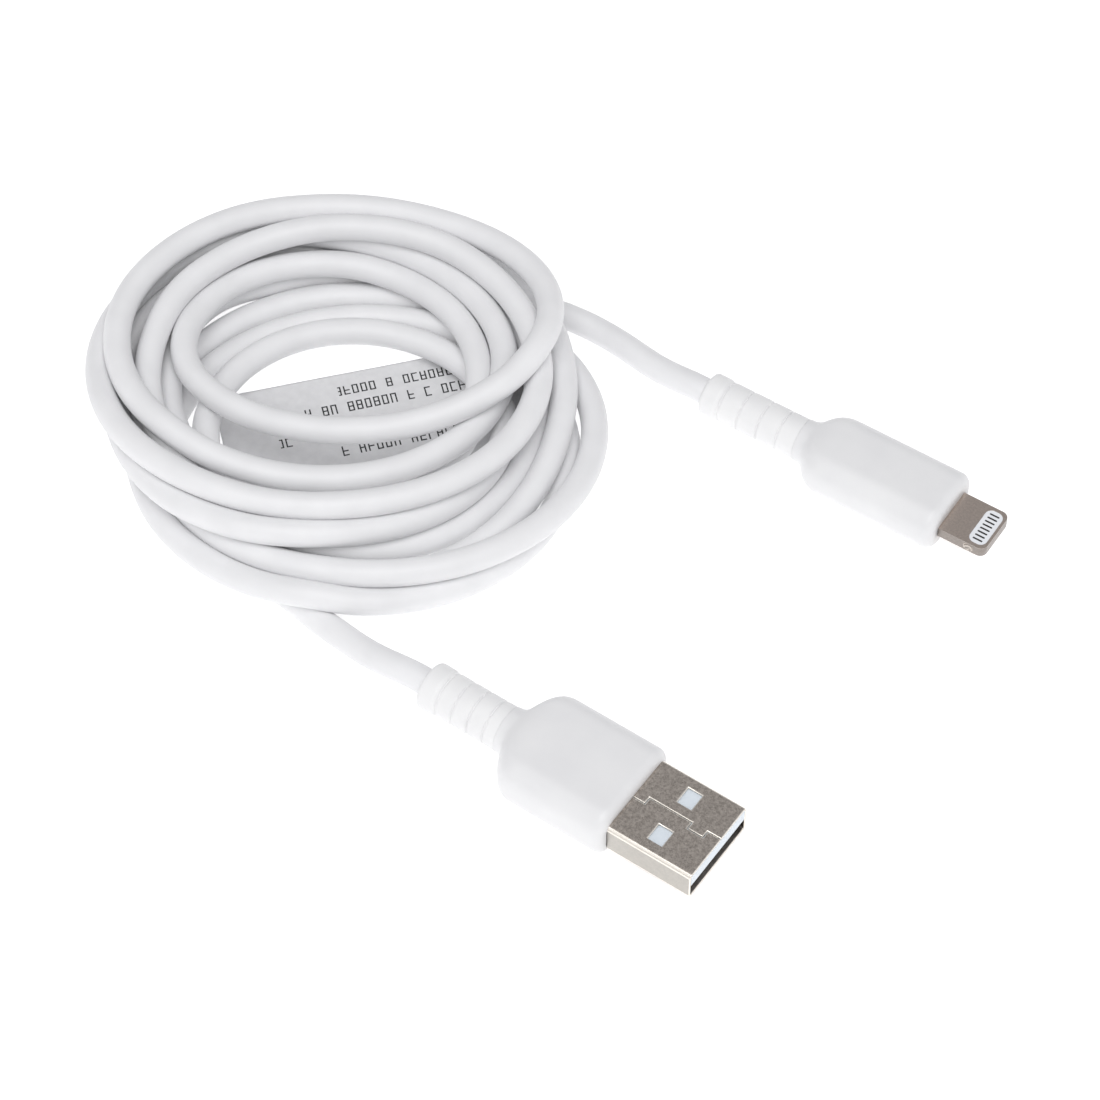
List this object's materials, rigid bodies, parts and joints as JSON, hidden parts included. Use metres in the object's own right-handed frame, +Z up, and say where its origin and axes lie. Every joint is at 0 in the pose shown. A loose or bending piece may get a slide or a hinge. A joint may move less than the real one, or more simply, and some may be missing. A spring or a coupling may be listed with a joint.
{
  "type": "charging cable",
  "caption": "White charging cable lying in a loose round coil, with a flat USB-A plug on one end and a slim blade plug on the other.",
  "frame": {"origin": "Middle of the flat underside of the USB-A overmould, on the surface that the cable lies on", "axes": "+X is the way the USB-A plug goes in, +Z is up, and +Y is to the plug's left, towards the blade plug"},
  "size_m": [0.1114, 0.0713, 0.013],
  "materials": {
    "white_overmould": "satin moulded elastomer",
    "white_strain_relief": "satin moulded elastomer",
    "cord_jacket": "smooth satin extruded jacket",
    "inner_mould": "moulded polyethylene",
    "plug_steel": "nickel plated, fine grain",
    "clamp_steel": "tin plated",
    "white_insulator": "smooth moulded plastic",
    "gold_contacts": "gold plated",
    "solder": "tinned solder",
    "red_insulation": "extruded insulation",
    "white_insulation": "extruded insulation",
    "green_insulation": "extruded insulation",
    "black_insulation": "extruded insulation",
    "green_board": "solder mask on glass laminate",
    "black_chip": "moulded package",
    "ceramic_capacitor": "fired ceramic",
    "label_paper": "semi-gloss label paper"
  },
  "bodies": {
    "cord": {"usb_a_lead": "cord_jacket", "blade_lead": "cord_jacket", "cord_coil": "cord_jacket", "flag_label": "label_paper"},
    "usb_a_plug": {"usb_a_overmould": "white_overmould", "usb_a_strain_relief": "white_strain_relief", "usb_a_inner_mould": "inner_mould", "usb_a_shell": "plug_steel", "usb_a_insulator": "white_insulator", "usb_a_contacts": "gold_contacts", "usb_a_solder_joints": "solder", "usb_a_cable_clamp": "clamp_steel", "usb_a_red_wire": "red_insulation", "usb_a_white_wire": "white_insulation", "usb_a_green_wire": "green_insulation", "usb_a_black_wire": "black_insulation", "usb_a_cord_end": "cord_jacket"},
    "blade_plug": {"blade_overmould": "white_overmould", "blade_strain_relief": "white_strain_relief", "blade_inner_mould": "inner_mould", "blade_frame": "plug_steel", "blade_contact_carrier": "white_insulator", "blade_top_contacts": "gold_contacts", "blade_bottom_contacts": "gold_contacts", "blade_circuit_board": "green_board", "blade_control_chip": "black_chip", "blade_capacitors": "ceramic_capacitor", "blade_shield_can": "clamp_steel", "blade_solder_joints": "solder", "blade_cable_clamp": "clamp_steel", "blade_red_wire": "red_insulation", "blade_white_wire": "white_insulation", "blade_green_wire": "green_insulation", "blade_black_wire": "black_insulation", "blade_cord_end": "cord_jacket"}
  },
  "joints": [
    {"name": "usb_a_flex", "type": "hinge", "parent": "cord", "child": "usb_a_plug", "pos_m": [-0.015, 0, 0.0039], "axis": [0, 0, 1], "range_deg": [-30, 30], "stiffness_Nm_per_rad": 0.02, "deforming": ["usb_a_strain_relief", "usb_a_cord_end"]},
    {"name": "blade_flex", "type": "hinge", "parent": "cord", "child": "blade_plug", "pos_m": [-0.01143, 0.05743, 0.0034], "axis": [0, 0, 1], "range_deg": [-30, 30], "stiffness_Nm_per_rad": 0.02, "deforming": ["blade_strain_relief", "blade_cord_end"]}
  ]
}
